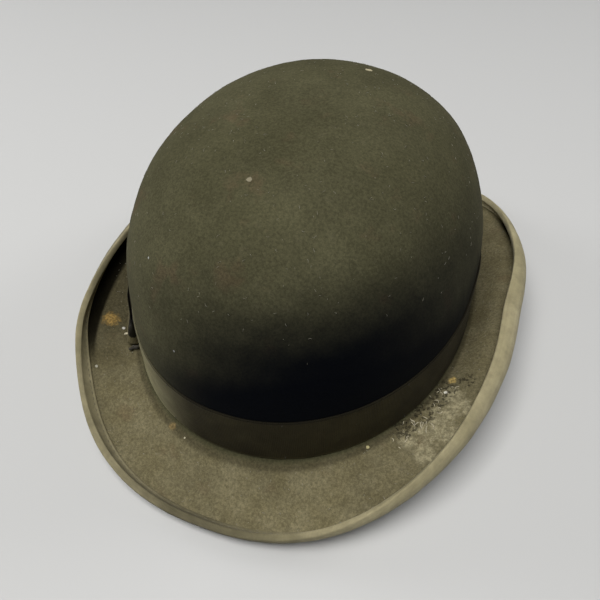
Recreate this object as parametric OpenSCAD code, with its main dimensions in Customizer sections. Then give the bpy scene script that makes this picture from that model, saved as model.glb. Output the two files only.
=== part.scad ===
// Bowler hat, resting on its brim.
// The front points along -Y, the wearer's left is +X, and Z = 0 is the surface it rests on.
// Every layer is worked out from two ovals, one round the crown and one round the brim.

/* [Crown] */
// Length of the crown at its base, front to back, over the felt
crown_l = 206; // [194:1:218]
// Width of the crown at its base, over the felt
crown_w = 167; // [158:1:178]
// Squareness of the crown's oval, 2 is an ellipse
crown_oval = 2.07; // [2:0.01:2.3]
// Height of the crown above the brim
crown_h = 110; // [100:1:122]
// Squareness of the shoulder between wall and tip, 2 is an ellipse
shoulder = 3; // [2.4:0.1:3.4]
// Extra doming of the tip
tip_dome = 3.5; // [0:0.5:6]
// Thickness of the stiffened felt
felt_t = 2; // [1.6:0.1:2.4]

/* [Brim] */
// Length of the brim over its binding
brim_l = 272; // [262:1:290]
// Width of the brim over its binding
brim_w = 215; // [210:1:232]
// Squareness of the brim's oval
brim_oval = 2.3; // [2.1:0.05:2.4]
// How much higher the crown's base line is at the sides than at the ends
saddle = 5.6; // [2:0.1:8]
// How far the brim dips from the crown to its resting edge at front and back
end_dip = 9.4; // [6:0.1:12]
// How much higher the brim's rim is at the sides than at front and back
rim_rise = 24; // [16:0.5:28]
// Radius of the curl on the wearer's left
curl_r_left = 6; // [5:0.1:7]
// Radius of the curl on the wearer's right
curl_r_right = 5.8; // [5:0.1:7]
// Radius of the upturned edge at front and back
curl_r_ends = 4.6; // [4:0.1:6]
// Angle that the left side is curled through
curl_left = 164; // [150:1:200]
// Angle that the right side is curled through
curl_right = 186; // [150:1:205]
// How quickly the left curl opens towards front and back
curl_fade_left = 2.4; // [1:0.1:3]
// How much wider the left curl gets between the side and the ends
flare_r = 5; // [0:0.5:6]
// How far the left curl leans out there, in degrees
flare_a = 42; // [0:1:50]
// Angle that the front and back edges are turned up through
curl_ends = 88; // [60:1:110]

/* [Ribbons] */
// Height of the hatband
band_h = 27; // [20:1:36]
// Thickness of the hatband and bow ribbon
ribbon_t = 0.6; // [0.4:0.1:0.8]
// Thickness of the brim's binding
binding_t = 0.45; // [0.3:0.05:0.6]
// Width of the binding on the outer face of the curl, the inner face shows five eighths of it
binding_w = 10; // [7:0.5:11]
// Where the bow sits, round from the wearer's left towards the back
bow_at = 17; // [0:1:30]
// Length of the bow
bow_l = 72; // [56:1:84]
// Length of the knot along the band
knot_l = 13; // [10:1:18]

/* [Inside] */
// Height of the leather sweatband
sweat_h = 48; // [40:1:55]
// Thickness of the leather
sweat_t = 1; // [0.8:0.1:1.2]
// Diameter of the reed in the sweatband's lower edge
reed_d = 1.6; // [1.2:0.1:1.8]
// Thickness of the lining
lining_t = 0.3; // [0.2:0.05:0.4]

/* [Hidden] */

STATIONS = 64;          // sections round the hat
GAP = 0.08;             // room left between layers that lie on each other
EDGE_GAP = 0.1;         // the same between the felt's edge and its binding
FILLET = 1.2;           // inside corner between crown and brim
BACK = 90;              // the back of the hat, where the sweatband is joined
LOW_Z = felt_t / 2 + EDGE_GAP + binding_t;   // middle of the felt where the brim rests
BASE_Z = LOW_Z + end_dip;               // middle of the felt at the crown's base, front and back
BAND_Z = felt_t / 2 + FILLET;           // lower edge of the hatband above the base line
CROWN_STEPS = 15;
SEAM_STEP = 8;          // step up the crown where the lining's sides meet its tip
BRIM_STEPS = 9;         // steps from the crown to the binding's outer edge
EDGE_STEPS = 8;         // steps across the binding's outer face
IN_STEPS = 5;           // steps across its inner face
THREAD = 0.3;
THREAD_GAP = 0.2;       // clears the flats between two stations
TACKS = 10;
BINDING_STITCHES = 108;
SWEAT_STITCHES = 96;

// ---- plan ovals and heights ----

function spow(v, e) = sign(v) * pow(abs(v), e);
function oval(q, w, l, n) = [w / 2 * spow(cos(q), 2 / n), l / 2 * spow(sin(q), 2 / n)];
function side(q) = pow(cos(q), 2);
function around(q, left, right, ends) = ends + side(q) * ((cos(q) > 0 ? left : right) - ends);
function base_z(q) = BASE_Z + saddle * side(q);
function rim_z(q) = LOW_Z + rim_rise * side(q);

// ---- crown: q goes round it, u climbs it from 0 at the base to 90 at the tip ----

function shrink(t) = pow(max(0, 1 - pow(t, shoulder)), 1 / shoulder);
function crown_at(q, t, s, off) =
    let (o = oval(q, crown_w + 2 * off, crown_l + 2 * off, crown_oval))
    [o[0] * s, o[1] * s,
     base_z(q) * (1 - t) + BASE_Z * t + (crown_h + off) * t + tip_dome * pow(1 - s * s, 2)];
function crown_pt(q, u, off) =
    crown_at(q, pow(sin(u), 2 / shoulder), pow(cos(u), 2 / shoulder), off);
function wall_pt(q, z, off) = let (t = z / (crown_h + off)) crown_at(q, t, shrink(t), off);
function step_u(k) = let (t = k / CROWN_STEPS) 90 * t * t * (3 - 2 * t);
function tip_pt(off) = [0, 0, BASE_Z + crown_h + off + tip_dome];

// ---- brim: v runs from 0 at the crown to 1 where the curl starts and 2 at the edge ----

function crown_oval_pt(q) = oval(q, crown_w, crown_l, crown_oval);
function brim_oval_pt(q) = oval(q, brim_w, brim_l, brim_oval);
function outward(q) = let (d = brim_oval_pt(q) - crown_oval_pt(q)) d / norm(d);
function flare(q) = cos(q) > 0 ? pow(4 * side(q) * (1 - side(q)), 2) : 0;
function curl_r(q) = around(q, curl_r_left, curl_r_right, curl_r_ends) + flare_r * flare(q);
function curl_a(q) = cos(q) > 0
    ? curl_ends + pow(side(q), curl_fade_left) * (curl_left - curl_ends) - flare_a * flare(q)
    : curl_ends + side(q) * (curl_right - curl_ends);
function curl_arc(q) = curl_r(q) * curl_a(q) * PI / 180;
function flat_w(q) =
    norm(brim_oval_pt(q) - crown_oval_pt(q)) - curl_r(q) * sin(min(90, curl_a(q))) - LOW_Z;
function ease(q, t) = side(q) * t * t * (3 - 2 * t) + (1 - side(q)) * sin(90 * t);
function brim_mid(q, v) =
    v <= 1
    ? let (rise = rim_z(q) - base_z(q), w = flat_w(q), e = 0.01)
      [w * v, base_z(q) + rise * ease(q, v),
       atan(rise * (ease(q, min(1, v + e)) - ease(q, v - e)) / (w * (min(1, v + e) - v + e)))]
    : let (a = (v - 1) * curl_a(q), r = curl_r(q))
      [flat_w(q) + r * sin(a), rim_z(q) + r * (1 - cos(a)), a];
// off is measured from the middle of the felt, positive towards the underside
function brim_pt(q, v, off) =
    let (m = brim_mid(q, v), rho = m[0] + off * sin(m[2]), p = crown_oval_pt(q) + outward(q) * rho)
    [p[0], p[1], m[1] - off * cos(m[2])];
// v at a distance d back from the felt's edge
function v_back(q, d) = d <= curl_arc(q) ? 2 - d / curl_arc(q) : 1 - (d - curl_arc(q)) / flat_w(q);
function edge_v(q, k) = v_back(q, binding_w * k / EDGE_STEPS);
function brim_steps(q) = let (v0 = 0.12, v1 = edge_v(q, EDGE_STEPS)) concat(
    [for (k = [0:BRIM_STEPS - 1]) v0 + (v1 - v0) * k / BRIM_STEPS],
    [for (k = [EDGE_STEPS:-1:0]) edge_v(q, k)]);

// ---- solids ----

function turn(k) = 360 * k / STATIONS;
function tri(a, b, c, d) = [[a, b, c], [a, c, d]];

// The section's loop has to run clockwise, seen with the hat's axis on the left
function loop_area(row) = let (p = [for (c = row) [norm([c[0], c[1]]), c[2]]], m = len(p))
    [for (k = [0:m - 1]) let (l = (k + 1) % m) p[k][0] * p[l][1] - p[l][0] * p[k][1]] * [for (c = row) 1];
function reverse(row) = [for (k = [len(row) - 1:-1:0]) row[k]];
function clockwise(rows) = loop_area(rows[0]) < 0 ? rows : [for (r = rows) reverse(r)];

// A ring whose section, rows[i], is a closed loop of points. Its quads are split the other way to
// a dome's, so that the two match where a ring lies on a dome.
module ring(sections) {
    rows = clockwise(sections);
    n = len(rows);
    m = len(rows[0]);
    faces = [for (i = [0:n - 1]) for (k = [0:m - 1])
        let (j = (i + 1) % n, l = (k + 1) % m)
        each tri(j * m + k, j * m + l, i * m + l, i * m + k)];
    polyhedron([for (r = rows) each r], faces);
}

// A domed shell whose rows run from under the outer tip point down, round the edge and up again
module dome(rows, outer_tip, inner_tip) {
    n = len(rows);
    m = len(rows[0]);
    skin = [for (i = [0:n - 1]) for (k = [0:m - 2])
        let (j = (i + 1) % n)
        each tri(i * m + k, j * m + k, j * m + k + 1, i * m + k + 1)];
    top = [for (i = [0:n - 1]) [n * m, ((i + 1) % n) * m, i * m]];
    bottom = [for (i = [0:n - 1]) [n * m + 1, i * m + m - 1, ((i + 1) % n) * m + m - 1]];
    polyhedron(concat([for (r = rows) each r], [outer_tip, inner_tip]), concat(skin, top, bottom));
}

// A strip that is open at both ends, with the same closed section loop in every row
module strip(sections) {
    rows = clockwise(sections);
    n = len(rows);
    m = len(rows[0]);
    skin = [for (i = [0:n - 2]) for (k = [0:m - 1])
        let (l = (k + 1) % m)
        each tri(i * m + k, (i + 1) * m + k, (i + 1) * m + l, i * m + l)];
    first = [[for (k = [0:m - 1]) k]];
    last = [[for (k = [m - 1:-1:0]) (n - 1) * m + k]];
    polyhedron([for (r = rows) each r], concat(skin, first, last));
}

// Many small bars in one solid: each bar is its eight corners, four at each end
module bars(all) {
    box = [[3, 2, 1, 0], [4, 5, 6, 7], [0, 1, 5, 4], [1, 2, 6, 5], [2, 3, 7, 6], [3, 0, 4, 7]];
    for (b = all) polyhedron(b, box);
}

// ---- felt ----

module felt_body() {
    in = -felt_t;
    half = felt_t / 2;
    rows = [for (i = [0:STATIONS - 1]) let (q = turn(i), vs = brim_steps(q)) concat(
        [for (k = [CROWN_STEPS - 1:-1:2]) crown_pt(q, step_u(k), 0)],
        [wall_pt(q, BAND_Z, 0), brim_pt(q, 0.02, -half - FILLET * 0.3)],
        [for (v = vs) brim_pt(q, v, -half)],
        [for (v = reverse(vs)) brim_pt(q, v, half)],
        [brim_pt(q, -felt_t * 0.5 / flat_w(q), half), wall_pt(q, felt_t * 0.3, in)],
        [for (k = [2:CROWN_STEPS - 1]) crown_pt(q, step_u(k), in)]
    )];
    color([0.17, 0.165, 0.135]) dome(rows, tip_pt(0), tip_pt(in));
}

// ---- hatband and bow ----

BAND_OFF = GAP;                              // inner face of the hatband, out from the felt
BOW_OFF = BAND_OFF + ribbon_t + 2 * GAP;     // inner face of what lies on the hatband

module hatband_ribbon() {
    a = BAND_OFF;
    b = a + ribbon_t;
    rows = [for (i = [0:STATIONS - 1]) let (q = turn(i)) [
        wall_pt(q, BAND_Z, a), wall_pt(q, BAND_Z, b), wall_pt(q, BAND_Z + band_h / 2, b),
        wall_pt(q, BAND_Z + band_h, b), wall_pt(q, BAND_Z + band_h, a),
        wall_pt(q, BAND_Z + band_h / 2, a)]];
    color([0.13, 0.12, 0.09]) ring(rows);
}

// degrees round the crown for a length along the band, near the bow
function deg_for(len) = len * 180 / (PI * (crown_w + crown_l) / 4 * 0.96);

// The bow's strip as [place along the band, middle offset]: under, round one fold, over and back
BOW_LIFT = 3.4;
LOOP_STEPS = 8;
KNOT_STEPS = 2;
KNOT_HALF = knot_l / 2 + 0.6;
// the k-th place along a loop: the first few lie under the knot
function loop_x(k) = k <= KNOT_STEPS ? KNOT_HALF * k / KNOT_STEPS
    : KNOT_HALF + (bow_l / 2 - 2 - KNOT_HALF) * (k - KNOT_STEPS) / (LOOP_STEPS - KNOT_STEPS);
function loop_rise(k) = let (t = max(0, k - KNOT_STEPS) / (LOOP_STEPS - KNOT_STEPS))
    BOW_OFF + ribbon_t * 3.1 + BOW_LIFT * pow(sin(180 * pow(t, 0.8)), 0.8) * t;
function bow_path() = let (h = bow_l / 2, low = BOW_OFF + ribbon_t * 1.8) concat(
    [for (k = [1:LOOP_STEPS]) [loop_x(k), low]],
    [[h - 0.6, low + 0.4], [h, low + 1.2], [h - 0.6, low + 2]],
    [for (k = [LOOP_STEPS:-1:1]) [loop_x(k), loop_rise(k)]],
    [for (k = [0:LOOP_STEPS]) [-loop_x(k), loop_rise(k)]],
    [[0.6 - h, low + 2], [-h, low + 1.2], [0.6 - h, low + 0.4]],
    [for (k = [LOOP_STEPS:-1:1]) [-loop_x(k), low]]
);
// the brim rises away from the crown, so a loop's lower edge rises as it stands out
function bow_low(off) = BAND_Z + 0.6 + 0.9 * max(0, off - 1.5);

module bow_ribbon() {
    path = bow_path();
    n = len(path);
    z1 = BAND_Z + band_h - 0.6;
    mid = BAND_Z + band_h / 2;
    rows = [for (i = [0:n - 1])
        let (a = path[max(0, i - 1)], b = path[min(n - 1, i + 1)], d = (b - a) / norm(b - a),
             nrm = [-d[1], d[0]] * ribbon_t / 2, p = path[i] + nrm, m = path[i] - nrm,
             qp = bow_at + deg_for(p[0]), qm = bow_at + deg_for(m[0]))
        [wall_pt(qp, bow_low(p[1]), p[1]), wall_pt(qm, bow_low(m[1]), m[1]), wall_pt(qm, mid, m[1]),
         wall_pt(qm, z1, m[1]), wall_pt(qp, z1, p[1]), wall_pt(qp, mid, p[1])]];
    color([0.12, 0.11, 0.085]) strip(rows);
}

// The knot is a short ribbon wrapped round the bow's middle, and its ends meet behind the bow
module bow_knot() {
    in0 = BOW_OFF;
    in1 = in0 + ribbon_t;
    out0 = BOW_OFF + ribbon_t * 4.1;
    out1 = out0 + ribbon_t;
    z0 = BAND_Z + 0.5;
    z1 = BAND_Z + band_h - 0.2;
    mid = BAND_Z + band_h / 2;
    seam = 0.1;
    wrap = [[mid - seam, in0], [z0 - 0.5, in0], [z0 - 0.2, out0], [z0 + 0.5, out1], [mid, out1],
            [z1, out1], [z1 + 0.7, out0], [z1 + 0.7, in0], [mid + seam, in0],
            [mid + seam, in1], [z1 + 0.1, in1], [z1 + 0.1, out0], [mid, out0],
            [z0, out0], [z0, in1], [mid - seam, in1]];
    color([0.11, 0.1, 0.08]) strip([for (k = [-3:3]) let (q = bow_at + deg_for(knot_l / 2 * k / 3))
        [for (p = wrap) wall_pt(q, p[0], p[1])]]);
}

// One small thread bar that stands up the wall at q, from height z, lying at offset off
function wall_bar(q, z, len, w, off, t) = let (a = deg_for(w / 2)) [
    wall_pt(q - a, z, off), wall_pt(q + a, z, off), wall_pt(q + a, z, off + t), wall_pt(q - a, z, off + t),
    wall_pt(q - a, z + len, off), wall_pt(q + a, z + len, off),
    wall_pt(q + a, z + len, off + t), wall_pt(q - a, z + len, off + t)];

module hatband_tacks() {
    off = BAND_OFF + ribbon_t + GAP / 2;
    color([0.05, 0.05, 0.05]) bars([for (i = [0:TACKS - 1]) for (z = [0.8, band_h - 2.2])
        let (q = bow_at + 360 * (i + 0.5) / TACKS) wall_bar(q, BAND_Z + z, 1.4, 0.5, off, THREAD)]);
}

module bow_tacks() {
    h = bow_l / 2 - 1;
    off = BOW_OFF + ribbon_t * 2.3 + 2 + GAP;
    color([0.05, 0.05, 0.05]) bars([for (s = [-1, 1]) for (z = [4, band_h - 5])
        wall_bar(bow_at + deg_for(s * (h - 0.5)), BAND_Z + z, 1.6, 0.6, off, THREAD)]);
}

// ---- binding ----

module brim_binding() {
    near = felt_t / 2 + EDGE_GAP;
    far = near + binding_t;
    rows = [for (i = [0:STATIONS - 1])
        let (q = turn(i), tip = 2 + EDGE_GAP / curl_arc(q), crest = tip + binding_t / curl_arc(q)) concat(
            [for (k = [EDGE_STEPS:-1:0]) brim_pt(q, edge_v(q, k), far)],
            [brim_pt(q, crest, near * 0.5), brim_pt(q, crest, -near * 0.5)],
            [for (k = [0:IN_STEPS]) brim_pt(q, edge_v(q, k), -far)],
            [for (k = [IN_STEPS:-1:1]) brim_pt(q, edge_v(q, k), -near)],
            [brim_pt(q, tip, -near), brim_pt(q, tip, near)],
            [for (k = [1:EDGE_STEPS]) brim_pt(q, edge_v(q, k), near)])];
    color([0.22, 0.21, 0.165]) ring(rows);
}

// A stitch that runs along the brim, d back from its edge, on the face at offset off
function brim_bar(q, len, d, w, off, t) =
    let (a = len / 2 / norm(brim_oval_pt(q)) * 180 / PI)
    [for (s = [-1, 1]) each [
        brim_pt(q + s * a, v_back(q + s * a, d), off),
        brim_pt(q + s * a, v_back(q + s * a, d + w), off),
        brim_pt(q + s * a, v_back(q + s * a, d + w), off + t),
        brim_pt(q + s * a, v_back(q + s * a, d), off + t)]];

module binding_stitches() {
    off = -(felt_t / 2 + EDGE_GAP + binding_t) - THREAD_GAP - THREAD;
    back = binding_w * IN_STEPS / EDGE_STEPS - 1.6;
    color([0.06, 0.06, 0.05]) bars([for (i = [0:BINDING_STITCHES - 1])
        let (q = 360 * (i + 0.5) / BINDING_STITCHES)
        brim_bar(q, 3.4, back, 0.4, off, THREAD)]);
}

// ---- inside ----

LINING_OFF = -felt_t - 2 * GAP;                       // outer face of the lining
SWEAT_OFF = LINING_OFF - lining_t - 4 * GAP;          // outer face of the leather
REED_OFF = SWEAT_OFF - sweat_t / 2;                   // middle of the reed
REED_Z = 0.4;                                         // middle of the reed above the base line
TAPE_T = 0.3;
SWEAT_Z = REED_Z + reed_d / 2 + TAPE_T + 2 * GAP;     // lower edge of the leather

module sweatband() {
    a = SWEAT_OFF;
    b = a - sweat_t;
    steps = [2, 3];
    rows = [for (i = [0:STATIONS - 1]) let (q = turn(i)) concat(
        [wall_pt(q, SWEAT_Z, a)], [for (k = steps) crown_pt(q, step_u(k), a)],
        [wall_pt(q, SWEAT_Z + sweat_h, a), wall_pt(q, SWEAT_Z + sweat_h, b)],
        [for (k = reverse(steps)) crown_pt(q, step_u(k), b)], [wall_pt(q, SWEAT_Z, b)])];
    color([0.32, 0.2, 0.12]) ring(rows);
}

module sweatband_reed() {
    sides = 6;
    rows = [for (i = [0:STATIONS - 1]) let (q = turn(i))
        [for (k = [0:sides - 1]) let (a = 360 * k / sides)
            wall_pt(q, REED_Z + reed_d / 2 * sin(a), REED_OFF + reed_d / 2 * cos(a))]];
    color([0.75, 0.68, 0.5]) ring(rows);
}

module reed_tape() {
    r0 = reed_d / 2 + GAP;
    r1 = r0 + TAPE_T;
    leg = 5;
    turns = [for (k = [0:4]) 180 + 45 * k];
    rows = [for (i = [0:STATIONS - 1]) let (q = turn(i)) concat(
        [wall_pt(q, REED_Z + r0, REED_OFF - r1), wall_pt(q, REED_Z + r0, REED_OFF - r0)],
        [for (a = turns) wall_pt(q, REED_Z + r0 * sin(a), REED_OFF + r0 * cos(a))],
        [wall_pt(q, REED_Z + leg, SWEAT_OFF + GAP), wall_pt(q, REED_Z + leg, SWEAT_OFF + GAP + TAPE_T)],
        [for (k = [len(turns) - 1:-1:0])
            wall_pt(q, REED_Z + r1 * sin(turns[k]), REED_OFF + r1 * cos(turns[k]))])];
    color([0.2, 0.17, 0.14]) ring(rows);
}

module sweatband_stitches() {
    off = SWEAT_OFF - sweat_t - THREAD_GAP - THREAD;
    color([0.7, 0.62, 0.45]) bars([for (i = [0:SWEAT_STITCHES - 1])
        let (q = 360 * (i + 0.5) / SWEAT_STITCHES)
        wall_bar(q, SWEAT_Z + 2.2, 0.5, 3.4, off, THREAD)]);
}

module sweatband_bow() {
    off = SWEAT_OFF - sweat_t - THREAD_GAP;
    z = SWEAT_Z + 12;
    t = 0.5;
    // half-height of the bow at a distance from its middle: pinched at the knot, wide at the ends
    function half_h(x) = 1.6 + 3.4 * sqrt(abs(x) / 11);
    color([0.1, 0.09, 0.08]) strip([for (x = [-11:2.2:11])
        let (q = BACK + deg_for(x), h = half_h(x), puff = t + 1.2 * (1 - pow(abs(x) / 11 * 2 - 1, 2)))
        [wall_pt(q, z - h, off), wall_pt(q, z + h, off), wall_pt(q, z + h, off - t),
         wall_pt(q, z, off - puff), wall_pt(q, z - h, off - t)]]);
}

module lining_sides() {
    a = LINING_OFF;
    b = a - lining_t;
    low = 14;
    rows = [for (i = [0:STATIONS - 1]) let (q = turn(i)) concat(
        [wall_pt(q, low, a)], [for (k = [2:SEAM_STEP]) crown_pt(q, step_u(k), a)],
        [for (k = [SEAM_STEP:-1:2]) crown_pt(q, step_u(k), b)], [wall_pt(q, low, b)])];
    color([0.78, 0.72, 0.6]) ring(rows);
}

module lining_tip() {
    a = LINING_OFF;
    b = a - lining_t;
    seam = step_u(SEAM_STEP) + 0.4;
    rows = [for (i = [0:STATIONS - 1]) let (q = turn(i)) concat(
        [for (k = [CROWN_STEPS - 1:-1:SEAM_STEP + 1]) crown_pt(q, step_u(k), a)],
        [crown_pt(q, seam, a), crown_pt(q, seam, b)],
        [for (k = [SEAM_STEP + 1:CROWN_STEPS - 1]) crown_pt(q, step_u(k), b)])];
    color([0.74, 0.68, 0.56]) dome(rows, tip_pt(a), tip_pt(b));
}

felt_body();
hatband_ribbon();
hatband_tacks();
bow_ribbon();
bow_knot();
bow_tacks();
brim_binding();
binding_stitches();
sweatband();
sweatband_reed();
reed_tape();
sweatband_stitches();
sweatband_bow();
lining_sides();
lining_tip();
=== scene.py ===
"""Looks for the bowler hat. Each piece is built on the design's own ovals, in finer detail."""

import functools
import math

import bmesh
import bpy
import numpy as np
from mathutils import Matrix, Vector


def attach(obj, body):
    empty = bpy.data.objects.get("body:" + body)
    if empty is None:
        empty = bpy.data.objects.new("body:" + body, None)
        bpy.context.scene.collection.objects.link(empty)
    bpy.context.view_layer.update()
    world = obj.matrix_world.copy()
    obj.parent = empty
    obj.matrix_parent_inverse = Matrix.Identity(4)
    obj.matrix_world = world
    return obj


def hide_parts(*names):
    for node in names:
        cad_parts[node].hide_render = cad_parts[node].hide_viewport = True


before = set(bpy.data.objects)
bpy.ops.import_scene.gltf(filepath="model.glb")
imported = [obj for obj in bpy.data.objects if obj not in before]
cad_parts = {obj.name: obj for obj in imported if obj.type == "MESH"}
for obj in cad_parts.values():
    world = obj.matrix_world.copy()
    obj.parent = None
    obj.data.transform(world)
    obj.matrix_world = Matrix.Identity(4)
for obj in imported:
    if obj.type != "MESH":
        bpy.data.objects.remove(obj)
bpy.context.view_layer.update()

# ---- the design's sizes, in millimetres and degrees ----

MM = 0.001
CROWN_L, CROWN_W, CROWN_OVAL, CROWN_H = 206, 167, 2.07, 110
SHOULDER, TIP_DOME, FELT_T = 3, 3.5, 2
BRIM_L, BRIM_W, BRIM_OVAL = 272, 215, 2.3
SADDLE, END_DIP, RIM_RISE = 5.6, 9.4, 24
CURL_R_LEFT, CURL_R_RIGHT, CURL_R_ENDS = 6, 5.8, 4.6
CURL_LEFT, CURL_RIGHT, CURL_ENDS, CURL_FADE = 164, 186, 88, 2.4
FLARE_R, FLARE_A = 5.0, 42
BAND_H, RIBBON_T, BINDING_T = 27, 0.6, 0.45
BINDING_OUT, BINDING_IN, STITCHED_AT, STITCHES = 10, 6.25, 4.65, 236
BOW_AT, BOW_L, KNOT_L = 17, 72, 13
BOW_H = 0.0258  # in metres, for the bow's weave
TORN_DROP = 9  # how much lower the bow's torn end is
SWEAT_H, SWEAT_T, REED_D, TAPE_T, LINING_T = 48, 1, 1.6, 0.3, 0.3
GAP, EDGE_GAP, FILLET, BACK = 0.08, 0.1, 1.2, 90
LINT_OFF = 0.12
ALONG = np.linspace(-1, 1, 5)  # stations along a stitch
HALF = FELT_T / 2
BINDING_FAR = HALF + EDGE_GAP + BINDING_T
LOW_Z = BINDING_FAR
BASE_Z = LOW_Z + END_DIP
BAND_Z = HALF + FILLET
BAND_TOP = BAND_Z + BAND_H
BAND_OFF = GAP
BOW_OFF = BAND_OFF + RIBBON_T + 2 * GAP
LINING_OFF = -FELT_T - 2 * GAP
SWEAT_OFF = LINING_OFF - LINING_T - 4 * GAP
REED_OFF = SWEAT_OFF - SWEAT_T / 2
REED_Z = 0.4
SWEAT_Z = REED_Z + REED_D / 2 + TAPE_T + 2 * GAP
SWEAT_TOP = SWEAT_Z + SWEAT_H
SEAM_U = 49.6  # where the lining's sides meet its tip
PLEATS = 52

rng = np.random.default_rng(1890)
join = np.concatenate

# ---- the hat's surfaces: q goes round it in degrees ----


def spow(value, power):
    return np.sign(value) * np.abs(value) ** power


def sin(angle):
    return np.sin(np.radians(angle))


def cos(angle):
    return np.cos(np.radians(angle))


def smooth(value, low=0.0, high=1.0):
    t = np.clip((value - low) / (high - low), 0, 1)
    return t * t * (3 - 2 * t)


def oval(q, width, length, power):
    return width / 2 * spow(cos(q), 2 / power), length / 2 * spow(sin(q), 2 / power)


def side(q):
    return cos(q) ** 2


def around(q, left, right, ends):
    return ends + side(q) * (np.where(cos(q) > 0, left, right) - ends)


def base_z(q):
    return BASE_Z + SADDLE * side(q)


def rim_z(q):
    return LOW_Z + RIM_RISE * side(q)


def points(x, y, z):
    return np.stack(np.broadcast_arrays(x, y, z), -1).astype(float)


def crown_at(q, t, s, off):
    x, y = oval(q, CROWN_W + 2 * off, CROWN_L + 2 * off, CROWN_OVAL)
    z = base_z(q) * (1 - t) + BASE_Z * t + (CROWN_H + off) * t + TIP_DOME * (1 - s * s) ** 2
    return points(x * s, y * s, z)


def crown(q, u, off):
    """u climbs the crown from 0 at its base to 90 at the middle of its tip."""
    u = np.clip(u, 0, 90)
    return crown_at(q, sin(u) ** (2 / SHOULDER), np.maximum(cos(u), 0) ** (2 / SHOULDER), off)


def wall(q, z, off):
    """The crown's wall at a height z over its base line."""
    t = np.clip(z / (CROWN_H + off), -0.2, 1)
    return crown_at(q, t, np.maximum(0, 1 - spow(t, SHOULDER)) ** (1 / SHOULDER), off)


def flare(q):
    """The left curl leans out and widens between the side and the ends."""
    return np.where(cos(q) > 0, (4 * side(q) * (1 - side(q))) ** 2, 0)


def curl_r(q):
    return around(q, CURL_R_LEFT, CURL_R_RIGHT, CURL_R_ENDS) + FLARE_R * flare(q)


def curl_a(q):
    share = side(q) ** np.where(cos(q) > 0, CURL_FADE, 1)
    top = np.where(cos(q) > 0, CURL_LEFT, CURL_RIGHT)
    return CURL_ENDS + share * (top - CURL_ENDS) - FLARE_A * flare(q)


def curl_arc(q):
    return curl_r(q) * np.radians(curl_a(q))


def spokes(q):
    """Where a spoke leaves the crown, the way it points and its length to the brim's oval."""
    x0, y0 = oval(q, CROWN_W, CROWN_L, CROWN_OVAL)
    x1, y1 = oval(q, BRIM_W, BRIM_L, BRIM_OVAL)
    length = np.hypot(x1 - x0, y1 - y0)
    return x0, y0, (x1 - x0) / length, (y1 - y0) / length, length


def flat_w(q):
    return spokes(q)[4] - curl_r(q) * sin(np.minimum(90, curl_a(q))) - LOW_Z


def ease(q, t):
    return side(q) * t * t * (3 - 2 * t) + (1 - side(q)) * sin(90 * t)


def brim(q, v, off):
    """v runs from 0 at the crown to 1 where the curl starts and 2 at the edge; off + is the underside."""
    x0, y0, dx, dy, _ = spokes(q)
    rise, width, e = rim_z(q) - base_z(q), flat_w(q), 0.01
    w = np.minimum(v, 1)
    ahead = np.minimum(1, w + e)
    slope = np.degrees(np.arctan(rise * (ease(q, ahead) - ease(q, w - e)) / (width * (ahead - w + e))))
    a = np.maximum(v - 1, 0) * curl_a(q)
    r = curl_r(q)
    rho = np.where(v <= 1, width * w, width + r * sin(a))
    z = np.where(v <= 1, base_z(q) + rise * ease(q, w), rim_z(q) + r * (1 - cos(a)))
    tilt = np.where(v <= 1, slope, a)
    rho = rho + off * sin(tilt)
    return points(x0 + dx * rho, y0 + dy * rho, z - off * cos(tilt))


def v_back(q, d):
    """v at a distance d back from the felt's edge."""
    arc = curl_arc(q)
    return np.where(d <= arc, 2 - d / arc, 1 - (d - arc) / flat_w(q))


def deg_for(length):
    """Degrees round the crown for a length along the band."""
    return length * 180 / (math.pi * (CROWN_W + CROWN_L) / 4 * 0.96)


def turns(count):
    """Stations round the hat, as a column."""
    return (np.arange(count) * 360 / count)[:, None]


# ---- slow unevenness of an old hat, the same for every piece ----

WAVES = [
    (rng.normal(size=3) / rng.uniform(22, 45), rng.uniform(0, 6.28), rng.normal(size=3) * 0.2)
    for _ in range(9)
]


def uneven(p):
    shift = np.zeros_like(p)
    for wave, phase, push in WAVES:
        shift += np.sin(p @ wave + phase)[..., None] * push
    shift *= smooth(p[..., 2], 2, 30)[..., None]
    return p + shift


def patchy(p, size, seed, octaves=3):
    """Smooth noise at each point, about -1 to 1, with features of the given size in mm."""
    own = np.random.default_rng(seed)
    total = np.zeros(p.shape[:-1])
    for k in range(octaves):
        for _ in range(5):
            wave = own.normal(size=3)
            wave *= 2 * math.pi / (size * 0.5**k) / np.linalg.norm(wave)
            total += np.sin(p @ wave + own.uniform(0, 6.28)) * 0.5**k
    return total / 3.2


# ---- meshes ----


def put(name, data):
    obj = bpy.data.objects.new(name, data)
    bpy.context.scene.collection.objects.link(obj)
    return obj


def build(name, verts, faces, uvs=None):
    """A smooth mesh from points in mm, quads or triangles, and a uv for each corner."""
    verts = np.asarray(verts, float).reshape(-1, 3)
    faces = [np.asarray(f) for f in faces]
    volume = 0
    for f in faces:
        a = verts[f[:, 0]]
        for k in range(1, f.shape[1] - 1):
            volume += (a * np.cross(verts[f[:, k]], verts[f[:, k + 1]])).sum()
    if volume < 0:
        faces = [f[:, ::-1] for f in faces]
        uvs = None if uvs is None else [uv[:, ::-1] for uv in uvs]
    mesh = bpy.data.meshes.new(name)
    mesh.from_pydata((verts * MM).tolist(), [], [row for f in faces for row in f.tolist()])
    if uvs is not None:
        layer = mesh.uv_layers.new(name="UVMap")
        flat = join([uv.reshape(-1, 2) for uv in uvs])
        layer.data.foreach_set("uv", flat.astype(np.float32).ravel())
    mesh.polygons.foreach_set("use_smooth", [True] * len(mesh.polygons))
    mesh.update()
    return put(name, mesh)


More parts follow.
